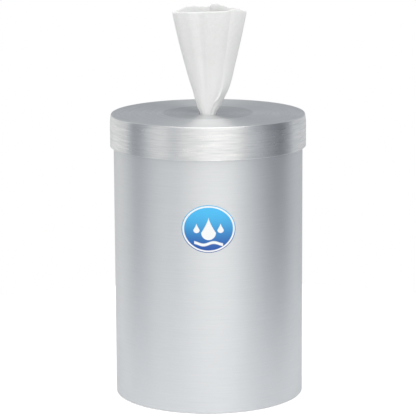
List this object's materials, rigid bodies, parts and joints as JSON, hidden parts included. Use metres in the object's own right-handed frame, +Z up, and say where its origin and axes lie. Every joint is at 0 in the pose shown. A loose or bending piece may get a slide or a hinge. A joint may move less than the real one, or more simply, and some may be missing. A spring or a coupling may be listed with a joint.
{
  "type": "wet wipes dispenser",
  "caption": "Counter-top dispenser for wet wipes: a brushed metal canister with a lift-off lid and a wipe standing out of the port in its middle.",
  "frame": {"origin": "centre of the base, on the table", "axes": "+Z up along the canister's axis, -Y towards the front, which carries the round print"},
  "size_m": [0.2104, 0.2104, 0.4204],
  "materials": {
    "brushed_aluminium": "satin",
    "pressed_aluminium": "satin",
    "black_rubber": "matte",
    "grey_foam": "matte",
    "liner_plastic": "satin",
    "nozzle_plastic": "satin",
    "wipe_cloth": "matte",
    "blue_print": "satin"
  },
  "bodies": {
    "canister": {"canister_shell": "brushed_aluminium", "base_plate": "pressed_aluminium", "foot_ring": "black_rubber", "front_label": "blue_print", "liner_bucket": "liner_plastic", "wipes_roll": "wipe_cloth", "next_wipe": "wipe_cloth"},
    "lid": {"lid_shell": "brushed_aluminium", "lid_seal": "grey_foam", "wipe_nozzle": "nozzle_plastic", "leading_wipe": "wipe_cloth"}
  },
  "joints": [
    {"name": "lid_lift", "type": "slide", "parent": "canister", "child": "lid", "axis": [0, 0, 1], "range_m": [0, 0.25], "deforming": ["next_wipe"]}
  ]
}
